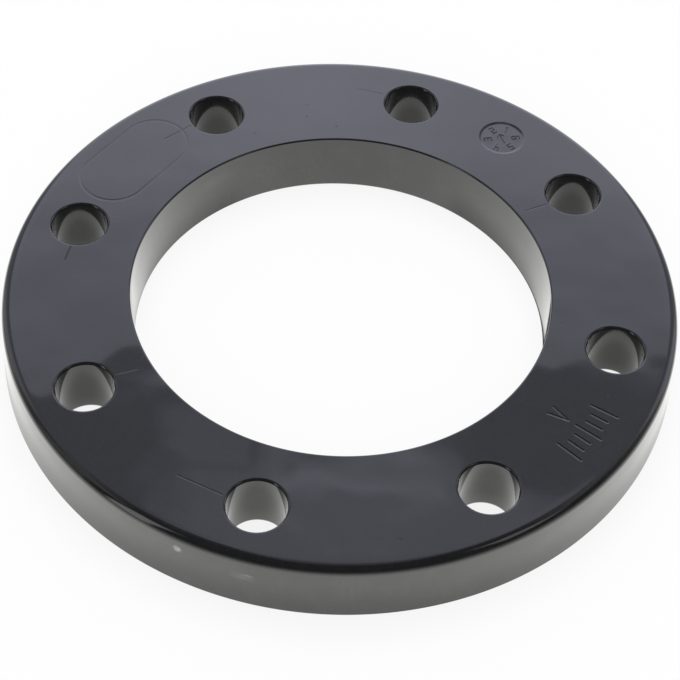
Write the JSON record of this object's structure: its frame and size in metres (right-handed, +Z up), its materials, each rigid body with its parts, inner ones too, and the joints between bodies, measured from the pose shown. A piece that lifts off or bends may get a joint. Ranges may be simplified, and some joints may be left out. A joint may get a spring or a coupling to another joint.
{
  "type": "pipe flange",
  "caption": "Flat round moulded plastic backing flange for a pipe joint, with a wide tapered bore, a ring of bolt holes and a rounded upper rim.",
  "frame": {"origin": "centre of the bore on the lower face, which the flange lies on", "axes": "+Z up the bore axis, from the wide lower face to the upper face with the rounded rim; the bolt holes straddle +X and +Y"},
  "size_m": [0.22, 0.22, 0.022],
  "materials": {
    "black_plastic": "smooth glossy black moulded plastic, faintly blue, with light handling scuffs"
  },
  "bodies": {
    "root": {"flange_ring": "black_plastic"}
  },
  "joints": []
}
